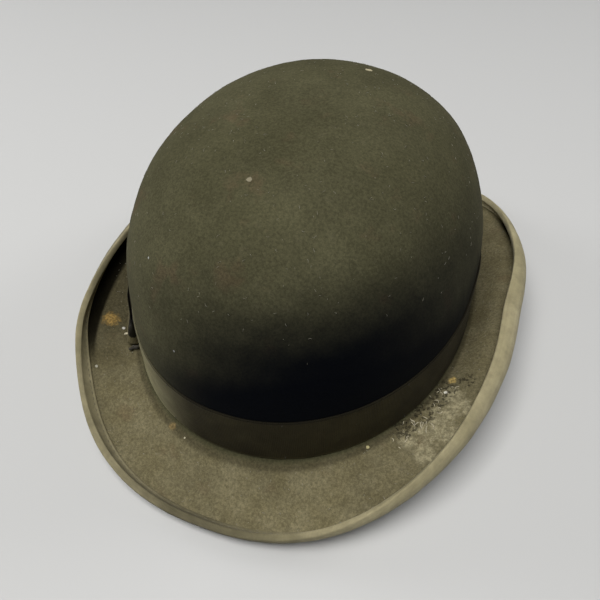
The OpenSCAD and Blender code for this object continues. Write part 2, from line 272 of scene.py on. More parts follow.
def quads(n, m, wrap_n, wrap_m, start=0):
    """Faces over an n by m grid of points, and the grid's place of each of their corners."""
    i, k = np.meshgrid(np.arange(n - 1 + wrap_n), np.arange(m - 1 + wrap_m), indexing="ij")
    i, k = i.ravel(), k.ravel()
    rows = np.stack([i, i + 1, i + 1, i], 1)
    cols = np.stack([k, k, k + 1, k + 1], 1)
    return start + (rows % n) * m + cols % m, rows, cols


def grid(name, p, wrap=(True, True), u=None, v=None, caps=False):
    """A skin over points p[n, m]. u[n + wrap] and v[m + wrap] are lengths in metres for the weave."""
    n, m = p.shape[:2]
    faces, rows, cols = quads(n, m, *wrap)
    all_faces, uvs = [faces], None
    if u is not None:
        uvs = [np.stack([u[rows], v[cols]], -1)]
    if caps:
        ends = np.array([np.arange(m), (n - 1) * m + np.arange(m)[::-1]])
        all_faces.append(ends)
        if uvs:
            uvs.append(np.stack([np.broadcast_to(u[[0, -1]][:, None], (2, m)),
                                 np.stack([v[:m], v[:m][::-1]])], -1))
    return build(name, uneven(p), all_faces, uvs)


def lengths(p):
    """Distance along a line of points, from 0, in metres."""
    return join([[0], np.cumsum(np.linalg.norm(np.diff(p, axis=0), axis=1))]) * MM


def loop_lengths(p):
    return lengths(join([p, p[:1]]))


def even_climb(q, stations, off, count):
    """Evenly spaced values of u up or down the crown, between the first and last of the stations."""
    run = lengths(join([crown(q, u, off).reshape(1, 3) for u in stations]))
    return np.interp(np.linspace(0, run[-1], count), run, stations)


def wall_line(q, z, off):
    return wall(np.asarray(q, float), np.asarray(z, float), np.asarray(off, float))


def fans(n, m):
    """Triangles from points n * m and n * m + 1 to the first and the last row of a skin n by m."""
    i = np.arange(n)
    after = (i + 1) % n
    return join([np.stack([np.full(n, n * m), after * m, i * m], 1),
                           np.stack([np.full(n, n * m + 1), i * m + m - 1, after * m + m - 1], 1)])


def tube_pieces(name, lines, radius, sides=6):
    """Short threads as closed round tubes with tapered ends. Each line is [k, 3] in mm."""
    verts, faces, start = [], [], 0
    for line in lines:
        line = np.asarray(line, float)
        tangent = np.gradient(line, axis=0)
        tangent /= np.linalg.norm(tangent, axis=1)[:, None]
        ref = np.array([0.31, 0.17, 0.93])
        a = np.cross(tangent, ref)
        a /= np.linalg.norm(a, axis=1)[:, None]
        b = np.cross(tangent, a)
        k = len(line)
        t = np.linspace(-1, 1, k)
        r = radius * np.sqrt(np.clip(1.08 - t**6, 0.08, 1))
        ang = np.arange(sides) * 2 * math.pi / sides
        ring = line[:, None] + r[:, None, None] * (
            a[:, None] * np.cos(ang)[None, :, None] + b[:, None] * np.sin(ang)[None, :, None])
        verts.append(ring.reshape(-1, 3))
        faces.append(quads(k, sides, False, True, start)[0])
        faces.append(start + np.array([np.arange(sides)[::-1], (k - 1) * sides + np.arange(sides)]))
        start += k * sides
    big = [f for f in faces if f.shape[1] == 4]
    caps = [f for f in faces if f.shape[1] != 4]
    groups = [join(big)] + ([join(caps)] if caps else [])
    return build(name, uneven(join(verts)), groups)


# ---- materials ----


class Paint:
    """A short way to write a node tree. Lengths are metres in the hat's own frame, and spots are in mm."""

    def __init__(self, name, rough, **constants):
        self.mat = bpy.data.materials.new(name)
        self.mat.use_nodes = True
        self.tree = self.mat.node_tree
        self.bsdf = self.tree.nodes["Principled BSDF"]
        self.set("Roughness", rough)
        for key, value in constants.items():
            self.set(key.replace("_", " "), value)
        coords = self.tree.nodes.new("ShaderNodeTexCoord")
        self.place, self.normal, self.uv = (coords.outputs[k] for k in ("Object", "Normal", "UV"))
        self.height = None

    def set(self, socket, value):
        if isinstance(value, bpy.types.NodeSocket):
            self.tree.links.new(value, self.bsdf.inputs[socket])
        else:
            self.bsdf.inputs[socket].default_value = value

    def add(self, kind, inputs, **props):
        node = self.tree.nodes.new("ShaderNode" + kind)
        for key, value in props.items():
            setattr(node, key, value)
        for key, value in inputs.items():
            if isinstance(value, bpy.types.NodeSocket):
                self.tree.links.new(value, node.inputs[key])
            elif value is not None:
                node.inputs[key].default_value = value
        return node

    def math(self, op, a, b=None, c=None):
        return self.add("Math", {0: a, 1: b, 2: c}, operation=op).outputs[0]

    def times(self, a, b):
        return self.math("MULTIPLY", a, b)

    def plus(self, a, b):
        return self.math("ADD", a, b)

    def rest(self, value, amount=1.0):
        """1 less the value, or less some of it."""
        return self.plus(1.0, self.times(value, -amount))

    def parts(self, vector):
        return self.add("SeparateXYZ", {0: vector}).outputs

    def stretch(self, vector, scale):
        return self.add("VectorMath", {0: vector, 1: scale}, operation="MULTIPLY").outputs[0]

    def shift(self, vector, by):
        return self.add("VectorMath", {0: vector, 1: by}, operation="ADD").outputs[0]

    def noise(self, size, detail=2.0, rough=0.5, at=None, twist=0.0):
        """Noise with features of the given size in metres."""
        node = self.add("TexNoise", {"Vector": at or self.place, "Scale": 1 / size,
                                     "Detail": detail, "Roughness": rough, "Distortion": twist})
        return node.outputs["Fac"]

    def cells(self, size, at=None, feature="F1", jitter=1.0):
        return self.add("TexVoronoi", {"Vector": at or self.place, "Scale": 1 / size,
                                       "Randomness": jitter}, feature=feature)

    def step(self, value, low, high, a=0.0, b=1.0):
        """Smoothly from a to b as value goes from low to high."""
        return self.add("MapRange", {0: value, 1: low, 2: high, 3: a, 4: b},
                        interpolation_type="SMOOTHSTEP").outputs[0]

    def mix(self, amount, a, b):
        node = self.add("Mix", {0: amount, 6: self.colour(a), 7: self.colour(b)}, data_type="RGBA")
        return node.outputs[2]

    def shade(self, colour, factor):
        """The colour made lighter or darker by a number."""
        return self.add("VectorMath", {0: colour, 3: factor}, operation="SCALE").outputs[0]

    @staticmethod
    def colour(value):
        if isinstance(value, bpy.types.NodeSocket) or len(value) == 4:
            return value
        return (*value, 1.0)

    def spot(self, centre, radius, ragged=0.35, soft=0.35):
        """1 inside a ragged round patch on the surface at a centre in mm."""
        away = self.add("VectorMath", {0: self.place, 1: [c * MM for c in centre]},
                        operation="DISTANCE").outputs["Value"]
        wobble = self.noise(radius * MM * 0.45, 3, 0.6)
        away = self.plus(away, self.times(self.plus(wobble, -0.5), radius * MM * ragged * 2))
        return self.step(away, radius * MM * (1 + soft), radius * MM * (1 - soft))

    def spots(self, places, ragged, soft):
        """1 inside any of several ragged patches."""
        found = [self.spot(centre, radius, ragged, soft) for centre, radius in places]
        return functools.reduce(lambda a, b: self.math("MAXIMUM", a, b), found)

    def raise_by(self, value, metres):
        """Adds value times metres to the height that makes the bump."""
        part = self.times(value, metres)
        self.height = part if self.height is None else self.plus(self.height, part)

    def finish(self, colour, strength=1.0):
        self.set("Base Color", colour)
        if self.height is not None:
            bump = self.add("Bump", {"Height": self.height, "Distance": 1.0, "Strength": strength})
            self.set("Normal", bump.outputs[0])
        return self.mat


def felt_paint(marks):
    m = Paint("felt", 0.95, Sheen_Weight=0.02, Sheen_Roughness=0.5,
              Sheen_Tint=(0.75, 0.72, 0.62, 1), Specular_IOR_Level=0.02)
    turn, strip, _ = m.parts(m.uv)  # strip: 0-1 crown, 1-2 brim, 2-3 its underside, 3-4 inside
    on_brim = m.times(m.step(strip, 0.985, 1.0), m.step(strip, 3.02, 3.0))
    slow = m.noise(0.055, 2, 0.5)
    middle = m.noise(0.011, 3, 0.6)
    nap = m.noise(0.0011, 3, 0.6)
    fine = m.noise(0.00040, 2, 0.6)

    cloud = m.noise(0.021, 4, 0.62, at=m.shift(m.place, (0.2, 0.2, 0.3)))
    faded_and_lit = m.mix(m.step(slow, 0.35, 0.65), (0.0545, 0.0525, 0.0285), (0.0665, 0.0640, 0.0360))
    faces = m.parts(m.normal)
    facing_back = m.plus(m.times(faces[0], -0.57), m.times(faces[1], 0.82))
    facing_back = m.plus(facing_back, m.step(m.parts(m.place)[2], 0.066, 0.046, 0, 0.20))
    back_shade_and_dye = m.times(m.step(facing_back, 0.28, 1.01), m.step(faces[2], 0.86, 0.25))
    back_shade_and_dye = m.times(back_shade_and_dye, m.step(strip, 0.99, 0.97))
    topside = m.step(strip, 2.02, 2.0)
    brim_felt = m.mix(m.step(middle, 0.3, 0.72), (0.123, 0.108, 0.060), (0.151, 0.135, 0.080))
    colour = m.mix(on_brim, faded_and_lit, brim_felt)
    worn = m.step(m.noise(0.0045, 4, 0.7), 0.54, 0.74)
    colour = m.mix(m.times(worn, m.step(on_brim, 0, 1, 0.07, 0.16)), colour, (0.20, 0.18, 0.13))
    rusty = m.step(m.noise(0.016, 3, 0.6, at=m.shift(m.place, (0.3, 0.1, 0.2))), 0.58, 0.74)
    colour = m.mix(m.times(rusty, 0.20), colour, (0.11, 0.062, 0.04))
    colour = m.shade(colour, m.step(cloud, 0.3, 0.7, 0.90, 1.10))
    grime = m.noise(0.0017, 4, 0.72, at=m.shift(m.place, (0.4, 0.3, 0.1)))
    least, most = m.step(on_brim, 0, 1, 0.96, 0.87), m.step(on_brim, 0, 1, 1.04, 1.13)
    colour = m.shade(colour, m.step(grime, 0.32, 0.68, least, most))
    colour = m.shade(colour, m.step(nap, 0.25, 0.75, 0.78, 1.22))
    colour = m.shade(colour, m.step(fine, 0.25, 0.75, 0.84, 1.16))

    # the moth's patch: bare pale ground with dark nibbled spots round it
    ground = m.shade((0.30, 0.272, 0.172), m.step(m.noise(0.0018, 5, 0.8), 0.34, 0.66, 0.50, 1.28))
    torn = m.step(m.noise(0.0050, 6, 0.8, at=m.shift(m.place, (0.1, 0.4, 0.2))), 0.36, 0.54)
    eaten = m.times(m.spots(marks["moth"], 0.85, 0.35), topside)
    colour = m.mix(m.times(m.times(eaten, torn), 0.9), colour, ground)
    nibbled = m.spots(marks["nibbled"], 0.6, 0.3)
    holes = m.step(m.noise(0.0019, 3, 0.6, twist=0.3), 0.53, 0.58)
    dark = m.times(m.times(nibbled, holes), topside)
    colour = m.mix(m.times(dark, 0.72), colour, (0.028, 0.025, 0.016))
    m.raise_by(m.plus(m.times(eaten, -0.5), m.times(dark, -1.0)), 0.0005)

    crumbs = m.noise(0.0013, 4, 0.75)
    for centre, radius, tint, amount in marks["stains"]:
        amount = m.times(m.step(crumbs, 0.34, 0.54, 0.55, 1.0), amount)
        patch = m.times(m.spot(centre, radius, 0.9, 0.45), topside)
        colour = m.mix(m.times(patch, amount), colour, m.shade(tint, m.step(crumbs, 0.42, 0.66, 0.8, 1.6)))
    # a broad patch on the crown made up to 13 per cent lighter
    for centre, radius in marks["paler"]:
        colour = m.shade(colour, m.step(m.spot(centre, radius, 0.7, 0.7), 0, 1, 1, 1.13))
    for centre, radius, tint in marks["flakes"]:
        flake = m.spot(centre, radius, 0.5, 0.12)
        colour = m.mix(flake, colour, tint)
        m.raise_by(flake, 0.00025)

    # painted shade: the felt is darkened inside the left curl, beside the crown and on the brim's upper
    # left;
    # low on the back it is partly dye that kept its colour and partly painted shade, with a painted blue
    # bounce
    facing = m.math("COSINE", m.times(turn, 2 * math.pi))
    curl_from = m.step(facing, 0.80, 0.985, 1.62, 1.48)
    curl_from = m.plus(curl_from, m.step(facing, 0, -0.2, 0, 0.06))
    # painted shade inside the left curl, down to 0.10 of the felt's colour
    curl_shadow = m.step(m.plus(strip, m.times(curl_from, -1.0)), -0.06, 0.04)
    curl_shadow = m.times(curl_shadow, m.times(m.step(m.math("ABSOLUTE", facing), 0.72, 0.88), topside))
    colour = m.shade(colour, m.step(curl_shadow, 0, 1, 1, 0.10))
    # low on the back: partly dye and partly painted shade, down to 0.015 of the colour, plus a painted blue
    # bounce
    colour = m.shade(colour, m.rest(back_shade_and_dye, 0.985))
    painted_blue_bounce = m.mix(back_shade_and_dye, (0, 0, 0), (0.0, 0.0008, 0.0030))
    colour = m.shift(colour, painted_blue_bounce)
    # painted shade on the brim next to the crown, down to 0.55
    shade_beside_crown = m.step(strip, 1.062, 1.11, 0.55, 1)
    shade_beside_crown = m.plus(m.times(shade_beside_crown, on_brim), m.rest(on_brim))
    # painted shadow on the brim's upper left, down to 0.46
    shaded = m.times(m.step(facing, 0.58, 0.98), m.times(m.step(strip, 1.03, 1.06), topside))
    colour = m.shade(colour, m.times(shade_beside_crown, m.step(shaded, 0, 1, 1, 0.46)))

    m.raise_by(nap, 0.00009)
    m.raise_by(fine, 0.00004)
    m.raise_by(middle, 0.00018)
    return m.finish(colour)


def ribbon_paint(name, dark, light, rib=0.00078, selvedge=None, width=0.027, sheen=0.06, streaks=0.0,
                 depth=0.10, faded_and_lit=(), inner=None, lip=None, torn=False):
    """Grosgrain: ribs across the ribbon, with a smoother woven edge. UVs are metres along and across."""
    m = Paint(name, 0.75, Sheen_Weight=sheen, Sheen_Roughness=0.4, Specular_IOR_Level=0.12)
    along, across, _ = m.parts(m.uv)
    x, y, _ = m.parts(m.place)
    under = m.step(across, 0.5, 0.6)  # the bow's inner face has 1 added to its across
    across = m.math("FRACT", across)
    ribs = m.math("SINE", m.times(along, 2 * math.pi / rib))
    threads = m.math("SINE", m.times(across, 2 * math.pi / (rib * 0.55)))
    slow = m.noise(0.03, 3, 0.6)
    patch = m.noise(0.006, 4, 0.65)
    colour = m.mix(m.step(slow, 0.32, 0.68), dark, light)
    colour = m.shade(colour, m.step(patch, 0.25, 0.75, 0.84, 1.16))
    # painted light: the ribbon's colour multiplied by a gain on one side of the hat, lighter where light
    # falls
    for from_x, to_x, gain in faded_and_lit:
        colour = m.mix(m.step(x, from_x, to_x), colour, m.stretch(colour, gain))
    colour = m.shade(colour, m.step(ribs, -1, 1, 1 - depth, 1 + depth))
    if streaks:
        run = m.noise(0.0024, 3, 0.55, at=m.stretch(m.uv, (0.03, 1, 1)))
        colour = m.shade(colour, m.step(run, 0.3, 0.7, 1 - streaks, 1 + streaks))
    fluff = m.step(m.noise(0.0009, 2, 0.6), 0.70, 0.80)
    colour = m.mix(m.times(fluff, 0.3), colour, (0.30, 0.27, 0.2))
    if selvedge:
        low = m.step(across, selvedge, selvedge * 0.4)
        high = m.step(across, width - selvedge, width - selvedge * 0.4)
        edge = m.math("MAXIMUM", low, m.times(high, 0.2))
        colour = m.shade(colour, m.step(edge, 0, 1, 1, 1.6))
        # painted shade along the ribbon's top edge, down to 0.3
        colour = m.shade(colour, m.step(across, width - 0.0009, width - 0.0003, 1, 0.3))
    # a ragged patch low on the bow's torn end darkened to 0.07: partly torn ribbon and partly painted shadow
    # under the loop's end
    if torn:
        shabby = m.times(m.plus(m.noise(0.003, 3, 0.7), -0.5), 0.009)
        end = m.times(m.step(along, 0.033, 0.036), m.step(m.plus(along, shabby), 0.050, 0.046))
        end = m.times(end, m.step(m.plus(across, shabby), 0.0080, 0.0100))
        colour = m.shade(colour, m.step(end, 0, 1, 1, 0.07))
    if lip:
        # painted shade on the binding's far left, down to 0.76, and painted light on its inner face on the
        # left, 1.45
        far_left_shade = m.times(m.step(x, 0.0, 0.04), m.step(y, 0.03, -0.03))
        colour = m.shade(colour, m.step(far_left_shade, 0, 1, 1, 0.76))
        lit_inner_face = m.times(m.step(across, lip, lip + 0.001), m.step(x, 0.0, 0.04))
        colour = m.shade(colour, m.step(lit_inner_face, 0, 1, 1, 1.45))
    # painted shade on the bow's inner face, for the dark inside its loops
    if inner:
        colour = m.shade(colour, m.step(under, 0, 1, 1, inner))
    m.raise_by(ribs, 0.00005)
    m.raise_by(threads, 0.000012)
    m.raise_by(patch, 0.00008)
    return m.finish(colour)


def thread_paint(name, tint):
    m = Paint(name, 0.75, Sheen_Weight=0.2, Specular_IOR_Level=0.3)
    fibre = m.noise(0.00025, 2, 0.6)
    m.raise_by(fibre, 0.00004)
    return m.finish(m.shade(tint, m.step(fibre, 0.3, 0.7, 0.7, 1.3)))


def leather_paint():
    m = Paint("sweat_leather", 0.5, Specular_IOR_Level=0.45, Coat_Weight=0.08, Coat_Roughness=0.35)
    _, across, _ = m.parts(m.uv)
    slow = m.noise(0.03, 4, 0.65)
    colour = m.mix(m.step(slow, 0.3, 0.7), (0.115, 0.055, 0.026), (0.24, 0.13, 0.066))
    height = m.plus(across, m.times(slow, 0.02))
    damp = m.step(height, 0.010, 0.034, 1, 0)
    colour = m.mix(m.times(damp, 0.75), colour, (0.038, 0.019, 0.010))
    tide = m.step(m.math("ABSOLUTE", m.plus(height, -0.030)), 0.0022, 0)
    colour = m.mix(m.times(tide, 0.4), colour, (0.05, 0.026, 0.013))
    pores = m.cells(0.0011).outputs["Distance"]
    grain = m.cells(0.0019, feature="DISTANCE_TO_EDGE").outputs["Distance"]
    cracks = m.step(grain, 0.10, 0.0)
    colour = m.mix(m.times(cracks, 0.35), colour, (0.03, 0.015, 0.008))
    rubbed = m.step(m.noise(0.009, 4, 0.7), 0.56, 0.75)
    colour = m.mix(m.times(rubbed, 0.3), colour, (0.36, 0.22, 0.13))
    m.set("Roughness", m.step(slow, 0.3, 0.7, 0.42, 0.68))
    m.raise_by(pores, 0.00007)
    m.raise_by(cracks, -0.00010)
    m.raise_by(slow, 0.0006)
    return m.finish(colour)


def satin_paint():
    m = Paint("lining_satin", 0.42, Sheen_Weight=0.35, Sheen_Roughness=0.3,
              Specular_IOR_Level=0.5, Anisotropic=0.35)
    slow = m.noise(0.045, 4, 0.6)
    colour = m.mix(m.step(slow, 0.3, 0.7), (0.43, 0.345, 0.215), (0.60, 0.51, 0.36))
    stain = m.step(m.noise(0.03, 5, 0.7, at=m.shift(m.place, (0.5, 0.2, 0.1))), 0.56, 0.70)
    colour = m.mix(m.times(stain, 0.45), colour, (0.24, 0.15, 0.075))
    height = m.parts(m.place)[2]
    greasy = m.step(m.plus(height, m.times(slow, 0.02)), 0.088, 0.06)
    colour = m.mix(m.times(greasy, 0.4), colour, (0.17, 0.11, 0.06))
    weave = m.noise(0.0007, 2, 0.6, at=m.stretch(m.place, (1, 1, 0.12)))
    colour = m.shade(colour, m.step(weave, 0.3, 0.7, 0.93, 1.07))
    m.raise_by(weave, 0.00004)
    m.raise_by(m.noise(0.012, 3, 0.6), 0.0005)
    return m.finish(colour)


def cane_paint():
    m = Paint("reed", 0.45, Specular_IOR_Level=0.45)
    grain = m.noise(0.0007, 3, 0.6, at=m.stretch(m.uv, (0.04, 1, 1)))
    m.raise_by(grain, 0.00006)
    return m.finish(m.mix(m.step(grain, 0.3, 0.7), (0.34, 0.23, 0.11), (0.55, 0.42, 0.24)))


# ---- pieces ----


def felt_body():
    """The felt: crown, a small fillet, the brim with its curls, and the inside."""
    q = turns(432)
    u_out = even_climb(30.0, np.linspace(89.2, 0.4, 1500), 0, 96)[:-1]
    z_low = BAND_Z + 0.4
    u_out = u_out[CROWN_H * sin(u_out) ** (2 / SHOULDER) > z_low + 1]
    rows = [crown(q, u_out[None], 0), wall(q, np.array([[z_low]]), 0)]
    strips = [np.linspace(0, 0.97, len(u_out) + 1)]

    v_fil = 0.13
    a, b = wall(q, z_low, 0), brim(q, v_fil, -HALF)
    corner = wall(q, HALF + 0.1, 0)
    t = np.linspace(0, 1, 8)[1:-1][None, :, None]
    rows.append(a * (1 - t) ** 2 + 2 * corner * t * (1 - t) + b * t * t)
    strips.append(np.linspace(0.975, 0.995, 6))
    v_top = join([np.linspace(v_fil, 1, 30), np.linspace(1, 2, 38)[1:]])
    rows.append(brim(q, v_top[None], -HALF))
    strips.append(1 + v_top / 2)
    v_low = join([np.linspace(2, 1, 30), np.linspace(1, 0.02, 24)[1:]])
    rows.append(brim(q, v_low[None], HALF))
    strips.append(3.001 - v_low / 2)
    z_in = np.array([[0.6, 3, 8, 14]])
    rows.append(wall(q, z_in, -FELT_T))
    u_in = u_out[::-3]
    u_in = u_in[CROWN_H * sin(u_in) ** (2 / SHOULDER) > 18]
    rows.append(crown(q, u_in[None], -FELT_T))
    strips.append(np.linspace(3.02, 4, 4 + len(u_in)))

    p = join(rows, 1)
    strip = join(strips)
    n, m = p.shape[:2]
    soft = patchy(p, 26, 3) * 0.10 + patchy(p, 9, 4) * 0.035
    free = smooth(np.broadcast_to(p[..., 2], (n, m)), BASE_Z + BAND_H + 6, BASE_Z + BAND_H + 16)
    out = p - (0, 0, CROWN_H / 2)
    out /= np.linalg.norm(out, axis=-1, keepdims=True)
    p = p + out * (soft * free * (strip < 0.97))[..., None]
    tips = np.array([crown(0.0, 90.0, off).reshape(3) for off in (0.0, -FELT_T)])
    verts = uneven(join([p.reshape(-1, 3), tips]))
    faces, ri, ci = quads(n, m, True, False)
    uv = np.stack([ri / n, strip[ci]], -1)
    i = np.arange(n)
    uv_top = np.stack([np.stack([(i + 0.5) / n, (i + 1) / n, i / n], 1), np.zeros((n, 3))], -1)
    uv_low = np.stack([np.stack([(i + 0.5) / n, i / n, (i + 1) / n], 1), np.full((n, 3), 4.0)], -1)
    return build("felt", verts, [faces, fans(n, m)], [uv, join([uv_top, uv_low])])


def hatband():
    """The ribbon round the crown: thin, with a corded edge along both sides."""
    q = turns(720)
    z = BAND_Z + join([[0, 0.25, 0.6, 1.1, 1.6], np.linspace(2.4, BAND_H - 2.4, 15),
                                 BAND_H - np.array([1.6, 1.1, 0.6, 0.25, 0])])
    from_edge = np.minimum(z - BAND_Z, BAND_TOP - z)
    bead = 0.14 * np.exp(-(((from_edge - 0.55) / 0.4) ** 2)) - 0.12 * (from_edge < 0.1)
    probe = wall(q, z[None], RIBBON_T)
    soft = patchy(probe * (1, 1, 0.5), 24, 11) * 0.07
    loose = 0.16 * np.clip(patchy(probe * (1, 1, 0.0), 60, 12, 2), 0, 1)
    loose = loose * smooth(z, BAND_Z + 18, BAND_TOP)
    outer = BAND_OFF + RIBBON_T + bead[None] + np.abs(soft) + loose
    inner = BAND_OFF + loose
    p = join([wall(q, z[None], outer), wall(q, z[::-1][None], inner[:, ::-1])], 1)
    u = loop_lengths(p[:, 0])
    v = join([z - BAND_Z, (z - BAND_Z)[::-1], [0]]) * MM
    return grid("hatband", p, u=u, v=v)


def bow_line():
    """The bow's strip, seen from above: places along the band, offsets from the felt, and how far
    in mm each place is lifted where the loop has sprung open."""
    h, low = BOW_L / 2, BOW_OFF + RIBBON_T * 1.8
    knot_end = KNOT_L / 2 + 0.6
    high = BOW_OFF + RIBBON_T * 3.1
    t = np.linspace(0, 1, 26)
    under = np.linspace(0.3, h - 2, 18)
    turn = np.radians(np.linspace(-80, 80, 13))
    both = []
    for sign, lift in ((1, 4.0), (-1, 1.6)):
        x_up = knot_end + (h - 2 - knot_end) * t
        rise = smooth(t, 0.2, 0.9) if sign > 0 else np.sin(math.pi * t**0.8) ** 0.8 * t
        reach = (1 + np.sin(turn)) / 2
        part = [(x, low, 0) for x in under]
        part += [(h - 1.6 + 1.5 * np.cos(a), low + (high - low) * r, r * rise[-1] * lift)
                 for a, r in zip(turn, reach)]
        part += [(x, high, o * lift) for x, o in zip(x_up[::-1], rise[::-1])]
        part += [(x, high, 0) for x in np.linspace(knot_end, 0, 5)[1:]]
        both.append([(sign * x, o, r) for x, o, r in part])
    return np.array(both[0] + both[1][:-1][::-1])


def bow():
    """Two flat loops. The back one has sprung open along its lower edge."""
    line = bow_line()
    x0, base, lift = line.T
    c = np.linspace(0, 1, 24)[None]
    open_low = 1 - 0.80 * smooth(c, 0.1, 0.9)
    ragged = 0.5 * patchy(np.stack([x0, 0 * x0, 0 * x0], -1), 7, 77, 3)
    sides = []
    off = base[:, None] + lift[:, None] * open_low
    d_x, d_o = np.gradient(x0)[:, None], np.gradient(off, axis=0)
    length = np.hypot(d_x, d_o)
    n_x, n_o = -d_o / length * RIBBON_T / 2, d_x / length * RIBBON_T / 2
    for sign in (1, -1):
        x, o = x0[:, None] + sign * n_x, off + sign * n_o
        pinch = np.exp(-((x / 9) ** 2))
        loose = smooth(lift, 0.5, 3.5)[:, None]
        low = BAND_Z + 0.6 + 0.8 * pinch + loose * (1.6 + ragged[:, None] * 0.5)
        high = BAND_TOP - 0.6 - 0.8 * pinch - loose * (2.2 - ragged[:, None])
        high = high - TORN_DROP * smooth(x, 25, 35)
        z = low * (1 - c) + high * c
        ripple = 0.22 * np.sin(c * 22 + 1.3) * np.exp(-np.abs(np.abs(x) - 8) / 9)
        clear = smooth(np.abs(x), KNOT_L / 2 + 0.8, KNOT_L / 2 + 4)
        clear = clear * smooth(o, BOW_OFF + RIBBON_T * 2.6, BOW_OFF + RIBBON_T * 3.4)
        ripple = ripple + 0.25 * loose * np.sin(c * 9 + x / 4)
        sides.append(wall(BOW_AT + deg_for(x), z, o + clear * ripple))
    p = join([sides[0], sides[1][:, ::-1]], 1)
    u = lengths(p[:, 0])
    v = join([1 + c[0] * BOW_H, c[0, ::-1] * BOW_H, [0]])
    return grid("bow", p, wrap=(False, True), u=u, v=v, caps=True)


def bow_frays():
    """The bow's torn back end: a dark crumpled edge that is partly painted shadow under the loop's end, a
    few loose threads and a pale one.
    """
    t = np.linspace(0, 1, 11)
    end = BOW_AT + deg_for(BOW_L / 2)
    edge = [wall_line(end + 0.9 + 0.25 * np.sin(t * 9), BAND_Z + 0.9 + 0.35 * np.sin(t * 7 + 1),
                      BOW_OFF + 1.2 + 5.0 * t)]
    dark = [wall_line(end - 2.6 - 2.2 * k + 1.0 * np.sin(t * 3 + k),
                      BAND_Z + 6 + 3.2 * k + 1.6 * np.sin(t * 4.4 + k),
                      BOW_OFF + 2.4 + (2.6 - 0.5 * k) * t) for k in range(4)]
    pale = [wall_line(end - 1.6 - 1.2 * t, BAND_Z + 4.4 + 1.0 * np.sin(t * 3), BOW_OFF + 3.0 + 4.6 * t)]
    return [tube_pieces("bow_torn_edge_and_shadow", edge, 0.85, 8), tube_pieces("bow_frayed_dark", dark, 0.4, 6),
            tube_pieces("bow_frayed_pale", pale, 0.6, 6)]


def knot():
    """The short ribbon round the bow's middle, with soft creases along it."""
    in0, out0 = BOW_OFF, BOW_OFF + RIBBON_T * 4.1
    z0, z1 = BAND_Z + 0.5, BAND_TOP - 0.2
    mid = BAND_TOP / 2
    key = np.array([[mid - 0.1, in0], [z0 - 0.3, in0], [z0 - 0.5, in0 + 1], [z0 - 0.2, out0],
                    [z0 + 0.5, out0 + 0.6], [mid, out0 + 0.85], [z1, out0 + 0.6],
                    [z1 + 0.7, out0], [z1 + 0.7, in0 + 1], [z1 + 0.5, in0], [mid + 0.1, in0]])
    step = join([[0], np.cumsum(np.linalg.norm(np.diff(key, axis=0), axis=1))])
    s = np.linspace(0, step[-1], 64)
    path = np.stack([np.interp(s, step, key[:, k]) for k in (0, 1)], 1)
    for _ in range(2):
        path[1:-1] = (path[:-2] + 2 * path[1:-1] + path[2:]) / 4
    d = np.gradient(path, axis=0)
    d /= np.linalg.norm(d, axis=1)[:, None]
    inward = np.stack([d[:, 1], -d[:, 0]], 1)
    centre = np.array([mid, (in0 + out0) / 2])
    inward *= np.sign(((centre - path) * inward).sum(1))[:, None]
    x = np.linspace(-KNOT_L / 2, KNOT_L / 2, 30)
    crease = 0.20 * np.cos(x / KNOT_L * 2 * math.pi * 2.5) * (1 - (2 * x / KNOT_L) ** 4)
    front = smooth(path[:, 1], out0, out0 + 0.5)
    loops = []
    for depth in (0.0, RIBBON_T * 0.8):
        loop = path + inward * depth
        off = loop[None, :, 1] + crease[:, None] * front[None]
        loops.append(wall(BOW_AT + deg_for(x)[:, None], loop[None, :, 0], off))
    p = join([loops[0], loops[1][:, ::-1]], 1)
    u = join([s, s[::-1], [0]]) * MM
    obj = grid("bow_knot_ribbon", p.transpose(1, 0, 2), wrap=(True, False), u=u, v=(x + KNOT_L / 2) * MM)
    bm_close(obj)
    return obj


def bm_close(obj):
    """Fills a strip's open ends."""
    bm = bmesh.new()
    bm.from_mesh(obj.data)
    edges = [e for e in bm.edges if e.is_boundary]
    bmesh.ops.holes_fill(bm, edges=edges, sides=0)
    bmesh.ops.triangulate(bm, faces=[f for f in bm.faces if len(f.verts) > 4])
    bm.to_mesh(obj.data)
    bm.free()


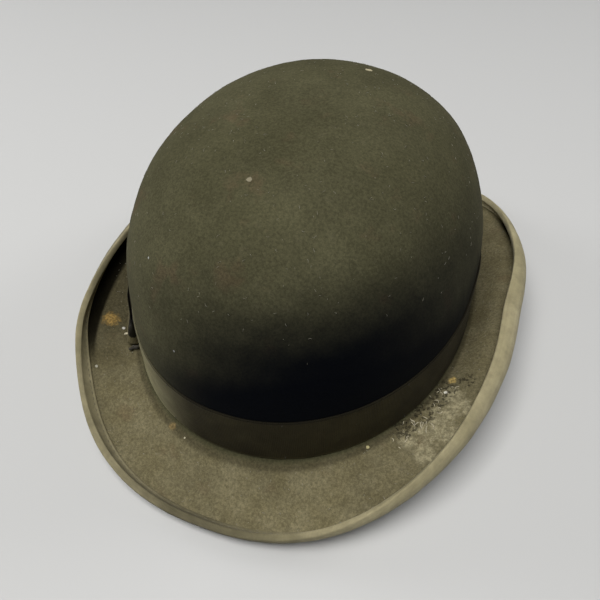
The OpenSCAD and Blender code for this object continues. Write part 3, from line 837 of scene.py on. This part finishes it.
def binding():
    """The ribbon folded over the brim's edge, with a woven bead along both its own edges."""
    q = turns(720)
    near, far = HALF + EDGE_GAP, BINDING_FAR
    d_out = np.array([BINDING_OUT, 9.7, 9.3, 8.8, 8, 7, 6, 5, 4, 3, 2.2, 1.5, 0.9, 0.4, 0])
    d_in = np.array([0, 0.4, 0.9, 1.5, 2.2, 3, 3.8, 4.4, 4.8, 5.2, 5.6, 5.9, 6.1, BINDING_IN])
    bead_out = 0.10 * np.exp(-(((BINDING_OUT - d_out) - 0.6) ** 2) / 0.12)
    stitch = 0.09 * np.exp(-((d_in - STITCHED_AT) ** 2) / 0.16)
    bead_in = 0.10 * np.exp(-(((BINDING_IN - d_in) - 0.55) ** 2) / 0.10)
    pull = 0.5 + 0.5 * np.cos(np.radians(q) * STITCHES)
    edge = 2 + EDGE_GAP / curl_arc(q)
    crest = edge + BINDING_T / curl_arc(q)
    v_out, v_in = v_back(q, d_out[None]), v_back(q, d_in[None])
    soft = 0.05 * patchy(brim(q, v_out[:, -1:], far), 14, 21)
    turn = np.linspace(90, -90, 9)[1:-1]
    v_turn = edge + (crest - edge) * cos(turn)[None]
    rows = [brim(q, v_out, far + bead_out[None] + soft), brim(q, v_turn, far * sin(turn)[None]),
            brim(q, v_in, -far - bead_in[None] + stitch[None] * pull - soft),
            brim(q, v_in[:, ::-2], -near + 0 * q), brim(q, edge, -near), brim(q, edge, near),
            brim(q, v_out[:, ::-2][:, 1:], near + 0 * q)]
    p = join([r if r.ndim == 3 else r[:, None] for r in rows], 1)
    return grid("binding", p, u=loop_lengths(p[:, len(d_out) - 1]), v=loop_lengths(p[0]))


def along_brim(q_mid, length, d, off, rise):
    """A stitch that runs along the brim, d back from its edge: low at both ends, high in the middle."""
    x0, y0 = oval(q_mid, BRIM_W, BRIM_L, BRIM_OVAL)
    half = np.degrees(length / 2 / np.hypot(x0, y0))
    q = q_mid + half * ALONG
    return brim(q, v_back(q, d + 0 * q), off - rise * (1 - ALONG**2))


def binding_stitches():
    lines = [along_brim(360 * (k + 0.5) / STITCHES, 2.1, STITCHED_AT, -BINDING_FAR + 0.16, 0.16)
             for k in range(STITCHES)]
    return tube_pieces("binding_stitching", lines, 0.17, 5)


def hatband_tacks():
    off = BAND_OFF + RIBBON_T
    lines = []
    for i in range(10):
        for z in (1.2, BAND_H - 1.4):
            q = BOW_AT + 36 * (i + 0.5)
            lines.append(wall_line(q + deg_for(0.15) * ALONG, BAND_Z + z + 0.7 * ALONG,
                                   off + 0.22 - 0.25 * ALONG**2))
    return tube_pieces("hatband_thread", lines, 0.16, 6)


def bow_tacks():
    lines = []
    for s in (-1, 1):
        x = s * (BOW_L / 2 - 1.4)
        high = BAND_H - 4.2 if s < 0 else 12.5  # lower at the torn end
        for z in (4.8, high):
            lines.append(wall_line(BOW_AT + deg_for(x) + 0 * ALONG, BAND_Z + z + 0.8 * ALONG,
                                   BOW_OFF + 3.55 - 0.2 * ALONG**2))
    return tube_pieces("bow_thread", lines, 0.18, 6)


def sweatband():
    """Leather with a raised top edge that has come away from the lining here and there."""
    n = 560
    q = (BACK + 0.35 + np.arange(n) * (360 - 0.7) / (n - 1))[:, None]
    z = SWEAT_Z + join([[0, 0.3], np.linspace(1, SWEAT_H - 2, 26),
                                  [SWEAT_H - 1, SWEAT_H - 0.3, SWEAT_H]])
    probe = wall(q, z[None], SWEAT_OFF)
    top = smooth(z, SWEAT_Z + 20, SWEAT_TOP)[None]
    slack = np.maximum((0.55 + 0.55 * patchy(probe * (1, 1, 0.2), 42, 31, 2)) * top**2, 0)
    ripple = 0.10 * patchy(probe * (1, 1, 0.4), 11, 32) * smooth(z, SWEAT_Z + 4, SWEAT_Z + 12)[None]
    press = sum(deep * np.exp(-(((z - SWEAT_Z - SWEAT_H + down) / wide) ** 2))
                for deep, down, wide in ((0.22, 4, 0.5), (0.16, 5.6, 0.35)))
    round_edge = 0.3 * ((z - SWEAT_Z < 0.2) | (SWEAT_TOP - z < 0.2))
    dip = 0.5 * patchy(probe[:, :1] * (1, 1, 0), 55, 33, 2)
    dip = dip * smooth(z, SWEAT_Z + 30, SWEAT_TOP)[None]
    inner = SWEAT_OFF - SWEAT_T - slack - ripple + (press + round_edge)[None]
    outer = SWEAT_OFF - slack - ripple * 0.5 - round_edge[None] * 0.6
    zz = z[None] + dip
    p = join([wall(q, zz, inner), wall(q, zz[:, ::-1], outer[:, ::-1])], 1)
    u = lengths(p[:, 0])
    v = join([z - SWEAT_Z, (z - SWEAT_Z)[::-1], [0]]) * MM
    return grid("sweatband_leather", p, wrap=(False, True), u=u, v=v, caps=True)


def reed():
    q = turns(320)
    a = (np.arange(12) * 30.0)[None]
    p = wall(q, REED_Z + REED_D / 2 * sin(a), REED_OFF + REED_D / 2 * cos(a))
    return grid("reed", p, u=loop_lengths(p[:, 0]), v=loop_lengths(p[0]))


def reed_tape():
    q = turns(480)
    r0, r1 = REED_D / 2 + GAP, REED_D / 2 + GAP + TAPE_T
    a = np.linspace(180, 360, 13)[None]
    wave = 0.04 * np.cos(np.radians(q) * 96)
    zero = 0 * q
    leg = np.array([[REED_Z + 1.6, REED_Z + 3.2, REED_Z + 5]])
    rows = [wall(q, REED_Z + r0 + zero, REED_OFF - r1), wall(q, REED_Z + r0 + zero, REED_OFF - r0),
            wall(q, REED_Z + r0 * sin(a), REED_OFF + r0 * cos(a)),
            wall(q, leg + zero, SWEAT_OFF + GAP), wall(q, leg[:, ::-1] + zero, SWEAT_OFF + GAP + TAPE_T),
            wall(q, REED_Z + (r1 + wave) * sin(a[:, ::-1]), REED_OFF + (r1 + wave) * cos(a[:, ::-1]))]
    p = join(rows, 1)
    return grid("reed_tape_cloth", p, u=loop_lengths(p[:, 0]), v=loop_lengths(p[0]))


def sweatband_stitches():
    """A zigzag that joins the leather to the tape, and a row up the seam at the back."""
    off = SWEAT_OFF - SWEAT_T - 0.02
    count = 192
    lines, t = [], ALONG
    for k in range(count):
        q = BACK + 360 * (k + 0.5) / count
        lean = (1 if k % 2 else -1) * 180 / count
        lines.append(wall_line(q + lean * t * 0.92, SWEAT_Z + 2.2 + 0.9 * t, off - 0.16 * (1 - t**2)))
    for k in range(15):
        z = SWEAT_Z + 3 + k * 3.0
        lift = 0.6 * smooth(z, SWEAT_Z + 20, SWEAT_TOP) ** 2
        for s in (-1, 1):
            lines.append(wall_line(BACK + deg_for(1.6) * t * s, z + 1.3 * t, off - lift - 0.22 * (1 - t**2)))
    return tube_pieces("sweatband_thread", lines, 0.16, 5)


def sweatband_bow():
    """A flat little bow of narrow ribbon sewn over the leather's seam, and its knot."""
    off = SWEAT_OFF - SWEAT_T - 0.25
    z_mid = SWEAT_Z + 12
    x = np.linspace(-11, 11, 61)
    h = 1.5 + 3.3 * np.sqrt(np.abs(x) / 11)
    c = np.linspace(-1, 1, 15)
    puff = 0.5 + 1.15 * np.maximum(0, 1 - (np.abs(x) / 11 * 2 - 1) ** 2)
    crease = 0.18 * np.cos(c * 7)[None] * np.exp(-np.abs(x) / 5)[:, None]
    q = BACK + deg_for(x)[:, None]
    z = z_mid + h[:, None] * c[None]
    front = off - puff[:, None] * (1 - 0.55 * c[None] ** 4) - crease
    back = off + 0 * front
    p = join([wall(q, z, front), wall(q, z[:, ::-1], back)], 1)
    v = join([c * 5 + 5, (c * 5 + 5)[::-1], [0]]) * MM
    obj = grid("sweatband_bow_ribbon", p, wrap=(False, True), u=lengths(p[:, 0]), v=v, caps=True)

    x = np.linspace(-1.5, 1.5, 13)
    a = np.linspace(0, 360, 25)[:-1]
    tall, deep = 2.3 * spow(cos(a), 0.6), 1.15 * spow(sin(a), 0.8)
    bulge = 1 - 0.12 * (x / 1.5) ** 4
    p = wall(BACK + deg_for(x)[:, None], z_mid + tall[None] * bulge[:, None],
             off - 0.9 + deep[None] * bulge[:, None] * 0.95)
    u, v = lengths(p[:, 0]), loop_lengths(p[0])
    return obj, grid("sweatband_bow_tie", p, wrap=(False, True), u=u, v=v, caps=True)


def lining_sides():
    """Satin gathered into soft pleats towards the tip."""
    q = turns(900)
    stations = np.linspace(0, SEAM_U, 400)
    stations = stations[CROWN_H * sin(stations) ** (2 / SHOULDER) > 14]
    u = even_climb(45.0, stations, LINING_OFF, 40)[None]
    climb = (u - u.min()) / (u.max() - u.min())
    drift = 9 * np.sin(np.radians(q) * 5 + 0.6) + 5 * np.sin(np.radians(q) * 11 + 2)
    pleat = 0.5 + 0.5 * cos(q * PLEATS + drift * 2 + 16 * np.sin(climb * 2.2))
    sharp = pleat ** (1 + 0.8 * climb)
    tall = 0.10 + 1.15 * climb**1.5 + 0.25 * patchy(crown(q, u, LINING_OFF), 30, 41)
    fold = np.maximum(0, tall) * sharp
    fold += 0.3 * np.maximum(0, patchy(crown(q, u, 0), 18, 42)) * (1 - climb)
    fold *= smooth(climb, -0.02, 0.08)
    tuck = 1.0 - smooth(climb, 0.985, 1.0) * 0.6
    off = LINING_OFF - LINING_T - fold * tuck
    p = join([crown(q, u, off), crown(q, u[:, ::-1], (off + LINING_T)[:, ::-1])], 1)
    return grid("lining_satin_sides", p, u=loop_lengths(p[:, 0]), v=loop_lengths(p[0]))


def lining_tip():
    """The oval in the top of the crown, with its edge turned under over the gathers."""
    q = turns(480)
    u = even_climb(45.0, np.linspace(SEAM_U + 0.3, 89.5, 500), LINING_OFF, 44)
    near_seam = np.exp(-(u - u[0]) / 5)[None]
    roll = 0.75 * np.exp(-(((u - u[0] - 1.6) / 1.3) ** 2))[None] + 0.25 * near_seam
    pucker = 0.22 * np.maximum(0, cos(q * PLEATS + 20 * np.sin(np.radians(q) * 4))) * near_seam
    sag = 0.5 * np.maximum(0, patchy(crown(q, u[None], 0), 45, 51, 2)) * (1 - near_seam)
    off = LINING_OFF - LINING_T - roll - pucker - sag
    p = join([crown(q, u[None, ::-1], LINING_OFF), crown(q, u[None], off)], 1)
    n, m = p.shape[:2]
    tips = np.array([crown(0.0, 90.0, LINING_OFF).reshape(3),
                     crown(0.0, 90.0, LINING_OFF - LINING_T).reshape(3) - [0, 0, 0.2]])
    verts = uneven(join([p.reshape(-1, 3), tips]))
    return build("lining_satin_tip", verts, [quads(n, m, True, False)[0], fans(n, m)])


def hairs(surface, count, low, high, length, radius, name, q_low=0, q_high=360):
    """Short curved hairs that lie on a surface(q, v), scattered between two values of v."""
    lines = []
    near_q, near_v = 0.5, 0.005 * (high - low)
    for _ in range(count):
        q, v = rng.uniform(q_low, q_high), rng.uniform(low, high)
        here = surface(q, v).reshape(3)
        per_deg = np.linalg.norm(surface(q + near_q, v).reshape(3) - here) / near_q
        per_v = np.linalg.norm(surface(q, v + near_v).reshape(3) - here) / near_v
        head, bend, long = rng.uniform(0, 2 * math.pi), rng.normal() * 1.4, length * rng.uniform(0.4, 1.5)
        t = np.linspace(-0.5, 0.5, 5)
        way = head + bend * t
        dq, dv = np.cumsum(np.cos(way)) * long / 5 / per_deg, np.cumsum(np.sin(way)) * long / 5 / per_v
        lines.append(join([surface(q + a, v + b).reshape(1, 3) for a, b in zip(dq, dv)]))
    return tube_pieces(name, lines, radius, 4)


def over_crown(q, u):
    return crown(q, u, LINT_OFF)


def over_brim(q, v):
    return brim(q, v, -HALF - LINT_OFF)


# ---- camera, lights and floor ----

TARGET = Vector((0, 0, 0.0631))
AZIMUTH, ELEVATION, DISTANCE = 201.35, 38.74, 0.2935
YAW, PITCH, ROLL = 1.09, 7.79, -1.2
LENS, SENSOR = 35.93, 36


def swing(a, b, angle):
    """a turned towards b, and b turned with it."""
    c, s = math.cos(math.radians(angle)), math.sin(math.radians(angle))
    return a * c + b * s, b * c - a * s


def place_camera():
    az, el = math.radians(AZIMUTH), math.radians(ELEVATION)
    back = Vector((math.sin(az) * math.cos(el), -math.cos(az) * math.cos(el), math.sin(el)))
    eye = TARGET + back * DISTANCE
    right = Vector((0, 0, 1)).cross(back).normalized()
    up = back.cross(right)
    back, right = swing(back, right, YAW)
    back, up = swing(back, up, PITCH)
    right, up = swing(right, up, ROLL)
    data = bpy.data.cameras.new("camera")
    data.lens, data.sensor_width, data.clip_start = LENS, SENSOR, 0.01
    cam = put("camera", data)
    cam.matrix_world = Matrix([[right[i], up[i], back[i], eye[i]] for i in range(3)] + [[0, 0, 0, 1]])
    bpy.context.scene.camera = cam


def softbox(name, place, size, power, tint=(1, 1, 1)):
    data = bpy.data.lights.new(name, "AREA")
    data.shape, data.size, data.size_y = "RECTANGLE", *size
    data.energy, data.color = power, tint
    lamp = put(name, data)
    lamp.location = place
    lamp.rotation_euler = (TARGET - Vector(place)).to_track_quat("-Z", "Y").to_euler()


def studio():
    softbox("overhead", (0.10, 0.42, 1.5), (1.0, 1.0), 27, (1, 0.975, 0.93))
    softbox("left", (1.5, -0.1, 0.5), (0.7, 0.7), 9.5, (1, 0.98, 0.95))
    softbox("front", (-1.2, -1.1, 0.9), (0.8, 0.8), 9.5, (1, 0.98, 0.95))
    world = bpy.data.worlds.new("studio")
    world.use_nodes = True
    background = world.node_tree.nodes["Background"]
    background.inputs["Color"].default_value = (0.80, 0.86, 1.0, 1)
    background.inputs["Strength"].default_value = 0.05
    bpy.context.scene.world = world
    bpy.ops.mesh.primitive_plane_add(size=8, location=(0, 0, 0))
    floor = bpy.context.object
    floor.name = "floor"
    m = Paint("floor", 0.9)
    floor.data.materials.append(m.finish((0.52, 0.53, 0.54, 1)))
    view = bpy.context.scene.view_settings
    view.view_transform, view.look, view.exposure, view.gamma = "Standard", "None", 0, 1


# ---- putting it together ----


def dress(obj, paint, node):
    obj.data.materials.append(paint)
    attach(obj, "root")
    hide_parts(node)
    return obj


def on_brim(q, v):
    return tuple(uneven(brim(float(q), float(v), -HALF).reshape(1, 3))[0])


def on_crown(q, u):
    return tuple(uneven(crown(float(q), float(u), 0.0).reshape(1, 3))[0])


RUST, PALE_GREY, IVORY = (0.44, 0.29, 0.095), (0.36, 0.37, 0.36), (0.85, 0.84, 0.78)

# each mark is its place, its radius in mm and, where it has one, its colour and strength
MARKS = {
    "paler": [(on_crown(108, 50), 26)],
    "moth": [(on_brim(152, 0.56), 6.5), (on_brim(146, 0.6), 7), (on_brim(158, 0.5), 5),
             (on_brim(141, 0.4), 4), (on_brim(150, 0.85), 5), (on_brim(143, 0.8), 4.5),
             (on_brim(157, 0.8), 4.5)],
    "nibbled": [(on_brim(158, 0.30), 5), (on_brim(149, 0.24), 5.5), (on_brim(142, 0.22), 5),
                (on_brim(163, 0.62), 4), (on_brim(154, 0.3), 4.5)],
    "stains": [(on_brim(28.5, 0.81), 3.5, RUST, 0.95),
               (on_brim(71, 0.12), 1.6, (0.34, 0.24, 0.10), 0.55),
               (on_brim(161.5, 0.3), 1.8, (0.42, 0.31, 0.11), 0.9)],
    "flakes": [(on_crown(-110, 72.5), 1.7, (0.38, 0.345, 0.23)),
               (on_crown(85, 69.5), 1.1, (0.22, 0.20, 0.14)),
               (on_crown(59, 37.5), 0.5, PALE_GREY), (on_crown(75.5, 19), 0.5, PALE_GREY),
               (on_brim(76.5, 0.13), 0.45, (0.75, 0.70, 0.5)), (on_brim(32, 0.5), 0.8, IVORY),
               (on_brim(130.5, 0.12), 0.75, (0.75, 0.68, 0.36)),
               (on_brim(157.5, 0.31), 0.8, (0.9, 0.88, 0.78)),
               (on_brim(41, 1.2), 0.7, (0.45, 0.44, 0.36))],
}

place_camera()
studio()

felt = felt_paint(MARKS)
# the band is painted lit: 10.6 to 16 times lighter on the wearer's left and 1.35 times on the right
band_ribbon = ribbon_paint("band_ribbon", (0.0205, 0.0168, 0.0068), (0.0300, 0.0255, 0.0112),
                           selvedge=0.0012, sheen=0.02,
                           faded_and_lit=[(0.012, 0.055, (10.6, 11.8, 16.0)), (-0.01, -0.06, (1.35, 1.35, 1.35))])
# the binding is painted lit: 1.5 times lighter on the left and 2.9 times on the right
binding_ribbon = ribbon_paint("binding_ribbon", (0.098, 0.088, 0.052), (0.125, 0.112, 0.069),
                              rib=0.0006, streaks=0.07, depth=0.04, lip=0.0112,
                              faded_and_lit=[(0.005, 0.075, (1.5, 1.5, 1.5)), (-0.005, -0.075, (2.9, 2.9, 2.9))])
FADED_OLIVE = (0.118, 0.102, 0.052), (0.152, 0.134, 0.073)
bow_ribbon = ribbon_paint("bow_ribbon", *FADED_OLIVE, selvedge=0.0011, width=BOW_H, inner=0.12, sheen=0.02,
                          torn=True)
knot_ribbon = ribbon_paint("knot_ribbon", *FADED_OLIVE, width=BOW_H, sheen=0.02)
small_ribbon = ribbon_paint("small_ribbon", (0.030, 0.024, 0.020), (0.050, 0.040, 0.032), rib=0.0005)
tape = ribbon_paint("reed_tape", (0.065, 0.052, 0.038), (0.105, 0.085, 0.060), rib=0.0006)
dark_thread = thread_paint("dark_thread", (0.030, 0.027, 0.020))
olive_thread = thread_paint("olive_thread", (0.105, 0.095, 0.062))
pale_thread = thread_paint("pale_thread", (0.46, 0.42, 0.30))
light_thread = thread_paint("light_thread", (0.42, 0.34, 0.21))
lint = thread_paint("lint", (0.22, 0.21, 0.165))
satin = satin_paint()

dress(felt_body(), felt, "felt_body")
band = dress(hatband(), band_ribbon, "hatband_ribbon")
dress(hatband_tacks(), dark_thread, "hatband_tacks")
bow_piece = dress(bow(), bow_ribbon, "bow_ribbon")
knot_piece = dress(knot(), knot_ribbon, "bow_knot")
dress(hairs(over_crown, 420, 24, 84, 1.5, 0.055, "crown_lint"), lint, "felt_body")
dress(hairs(over_brim, 420, 0.15, 1.2, 1.1, 0.075, "brim_lint"), lint, "felt_body")
dress(hairs(over_brim, 30, 0.1, 0.5, 3.4, 0.19, "moth_strands", 137, 160), pale_thread, "felt_body")
for piece, paint in zip(bow_frays(), (dark_thread, dark_thread, pale_thread)):
    dress(piece, paint, "bow_ribbon")
dress(bow_tacks(), dark_thread, "bow_tacks")
edge = dress(binding(), binding_ribbon, "brim_binding")
dress(binding_stitches(), olive_thread, "binding_stitches")
leather = dress(sweatband(), leather_paint(), "sweatband")
dress(reed(), cane_paint(), "sweatband_reed")
dress(reed_tape(), tape, "reed_tape")
dress(sweatband_stitches(), light_thread, "sweatband_stitches")
small_bow, small_tie = sweatband_bow()
dress(small_bow, small_ribbon, "sweatband_bow")
dress(small_tie, small_ribbon, "sweatband_bow")
sides = dress(lining_sides(), satin, "lining_sides")
tip = dress(lining_tip(), satin, "lining_tip")
